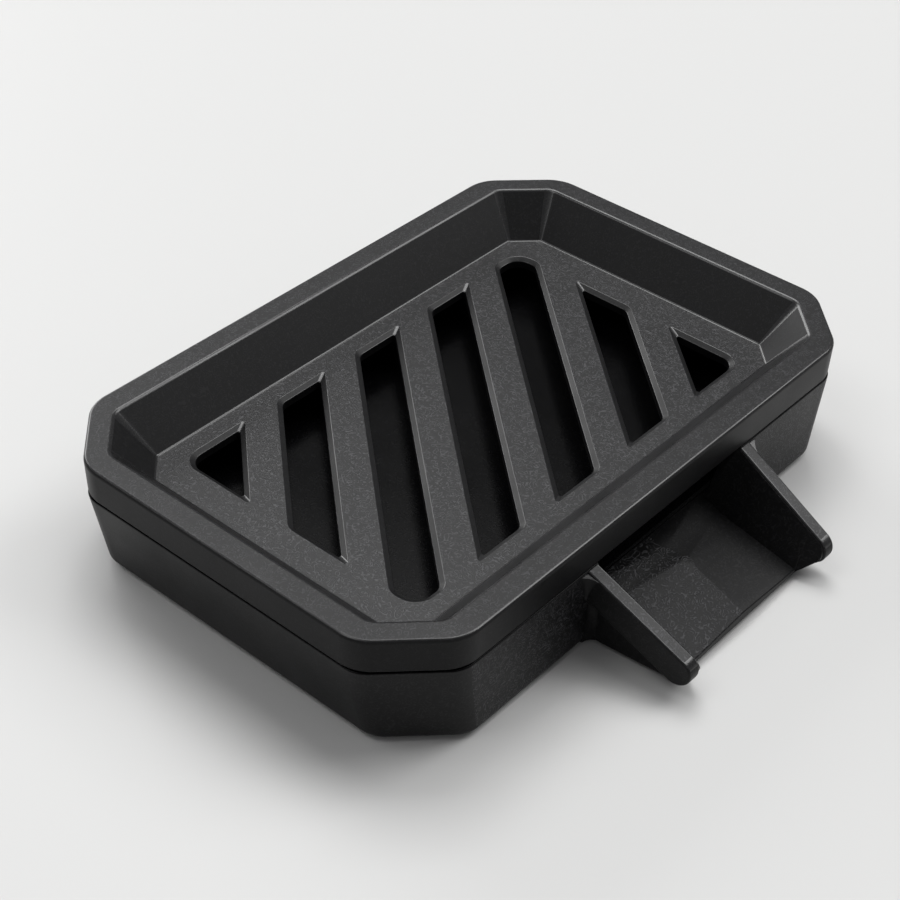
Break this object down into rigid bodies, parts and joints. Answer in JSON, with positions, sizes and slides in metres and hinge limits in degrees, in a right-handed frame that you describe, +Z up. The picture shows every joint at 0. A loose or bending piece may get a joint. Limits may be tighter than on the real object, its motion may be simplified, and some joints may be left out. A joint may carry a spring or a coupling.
{
  "type": "soap dish",
  "caption": "Self-draining soap dish: an eight-sided slotted tray that lifts off a reservoir base with a sloping waterfall spout.",
  "frame": {"origin": "on the counter, under the middle of the dish and its spout together", "axes": "+X along the long sides, +Z up, the spout pours towards -Y"},
  "size_m": [0.13, 0.1074, 0.025],
  "materials": {
    "tray_plastic": "charcoal black, fine moulded grain",
    "base_plastic": "charcoal black, fine moulded grain",
    "pad_rubber": "matte black anti-slip pad"
  },
  "bodies": {
    "base": {"base_with_spout": "base_plastic", "foot_pad_front_left": "pad_rubber", "foot_pad_front_right": "pad_rubber", "foot_pad_back_left": "pad_rubber", "foot_pad_back_right": "pad_rubber"},
    "tray": {"drain_tray": "tray_plastic"}
  },
  "joints": [
    {"name": "tray_lift", "type": "slide", "parent": "base", "child": "tray", "axis": [0, 0, 1], "range_m": [0, 0.03]}
  ]
}
